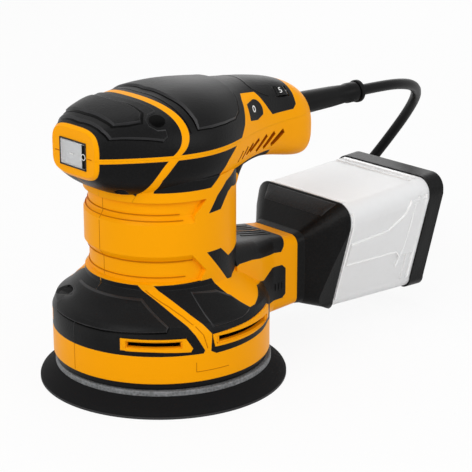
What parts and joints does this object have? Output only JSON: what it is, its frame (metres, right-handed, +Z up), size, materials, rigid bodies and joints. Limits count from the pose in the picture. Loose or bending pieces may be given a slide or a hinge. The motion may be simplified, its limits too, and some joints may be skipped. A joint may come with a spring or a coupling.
{
  "type": "random orbital sander",
  "caption": "Corded random orbital palm sander with round hook-faced pad, soft-grip housing, nose rocker switch, speed dial and clear slide-on dust box.",
  "frame": {"origin": "on the motor's axis at the sanding face, which rests on the work surface", "axes": "+X towards the nose and away from the dust box, +Y to the tool's left side with the dial, +Z up"},
  "size_m": [0.3385, 0.2197, 0.1486],
  "materials": {
    "orange_plastic": "satin moulded",
    "grip_rubber": "fine grained soft grip",
    "black_plastic": "fine grained",
    "clear_plastic": "clear moulded",
    "boot_clear": "clear flexible",
    "switch_grey": "polished",
    "hook_pile": "hook pile",
    "foam": "closed-cell foam",
    "plate_plastic": "speckled moulded",
    "cord_rubber": "smooth",
    "tie_plastic": "smooth",
    "steel": "turned",
    "screw_steel": "dark plated",
    "bearing_steel": "ground",
    "iron": "as cast",
    "alloy": "die cast",
    "fan_plastic": "moulded",
    "lamination": "stacked sheet",
    "copper": "enamelled",
    "brass": "plain",
    "carbon": "pressed carbon",
    "filter_paper": "pleated paper"
  },
  "bodies": {
    "housing": {"housing_left": "orange_plastic", "housing_left_grip": "grip_rubber", "housing_right": "orange_plastic", "housing_right_grip": "grip_rubber", "top_cover": "orange_plastic", "top_cover_grip": "grip_rubber", "side_badge": "grip_rubber", "housing_screws": "screw_steel", "cover_screws": "screw_steel", "switch_module": "black_plastic", "switch_boot": "boot_clear", "speed_regulator": "black_plastic", "strain_relief": "cord_rubber", "inner_cord": "cord_rubber", "cord_clamp": "black_plastic", "clamp_screws": "screw_steel", "cord": "cord_rubber", "cord_coil": "cord_rubber", "cord_tie": "tie_plastic", "plug_body": "cord_rubber", "plug_pins": "brass", "stator_core": "lamination", "field_coils": "copper", "lower_bearing": "bearing_steel", "upper_bearing": "bearing_steel", "brush_holders": "brass", "carbon_brushes": "carbon", "brush_springs": "steel", "fan_shroud": "black_plastic", "brake_ring": "grip_rubber"},
    "rocker": {"switch_rocker": "switch_grey"},
    "dial": {"speed_dial": "black_plastic"},
    "rotor": {"motor_shaft": "steel", "armature_core": "lamination", "armature_winding": "copper", "commutator": "copper", "fan_wheel": "fan_plastic", "eccentric_hub": "alloy", "counterweight": "iron", "pad_bearing": "bearing_steel"},
    "pad": {"pad_spindle": "steel", "retaining_ring": "steel", "backing_plate": "plate_plastic", "foam_pad": "foam", "hook_face": "hook_pile", "pad_screws": "screw_steel"},
    "dust_box": {"dust_adapter": "black_plastic", "filter_frame": "black_plastic", "filter_element": "filter_paper"},
    "container": {"dust_container": "clear_plastic", "container_cap": "black_plastic"}
  },
  "joints": [
    {"name": "rotor_spin", "type": "hinge", "parent": "housing", "child": "rotor", "pos_m": [0, 0, 0.06], "axis": [0, 0, 1], "continuous": true},
    {"name": "pad_spin", "type": "hinge", "parent": "rotor", "child": "pad", "pos_m": [0, 0.00125, 0.02], "axis": [0, 0, 1], "continuous": true},
    {"name": "switch_rock", "type": "hinge", "parent": "housing", "child": "rocker", "pos_m": [0.0446, 0, 0.1233], "axis": [0, 0, 1], "range_deg": [0, 12]},
    {"name": "dial_turn", "type": "hinge", "parent": "housing", "child": "dial", "pos_m": [-0.0675, 0.0086, 0.13242], "axis": [0, -0.6691, 0.7431], "range_deg": [-200, 40]},
    {"name": "box_slide", "type": "slide", "parent": "housing", "child": "dust_box", "axis": [-1, 0, 0], "range_m": [0, 0.03]},
    {"name": "container_slide", "type": "slide", "parent": "dust_box", "child": "container", "axis": [-1, 0, 0], "range_m": [0, 0.02]}
  ]
}
